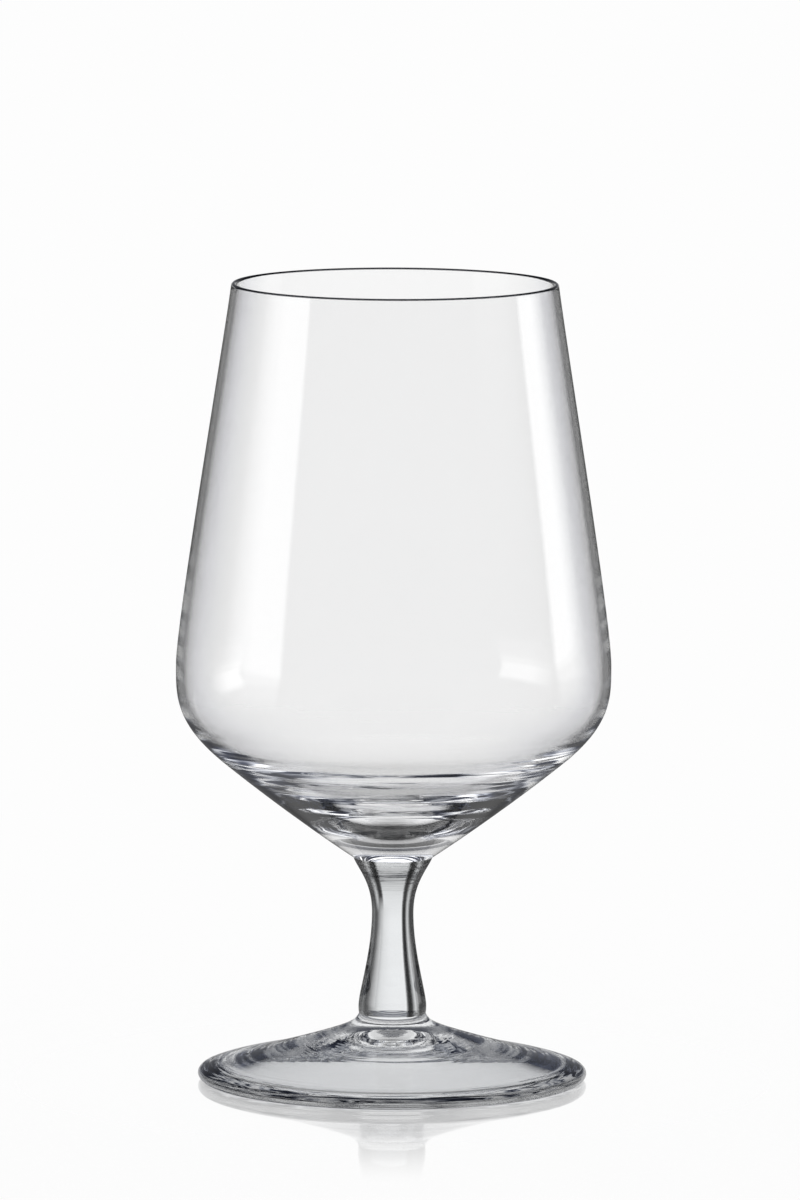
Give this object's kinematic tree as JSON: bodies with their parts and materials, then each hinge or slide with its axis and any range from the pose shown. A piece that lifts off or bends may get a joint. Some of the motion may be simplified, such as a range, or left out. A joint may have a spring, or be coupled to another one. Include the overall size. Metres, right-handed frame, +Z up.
{
  "type": "stemmed beer glass",
  "caption": "Clear stemmed beer glass: a bowl that widens from the rim to a low belly and turns in to a cone, on a short waisted stem and a round foot.",
  "frame": {"origin": "middle of the circle that the foot stands on, at table level", "axes": "+Z up along the axis that the whole glass is turned about; +X and +Y lie in the table plane, and all directions round the axis are alike"},
  "size_m": [0.0922, 0.0922, 0.17],
  "materials": {
    "clear_glass": "clear, smooth and fire-polished, faintly cool grey where it is thick"
  },
  "bodies": {
    "root": {"bowl": "clear_glass", "stem": "clear_glass", "foot": "clear_glass"}
  },
  "joints": []
}
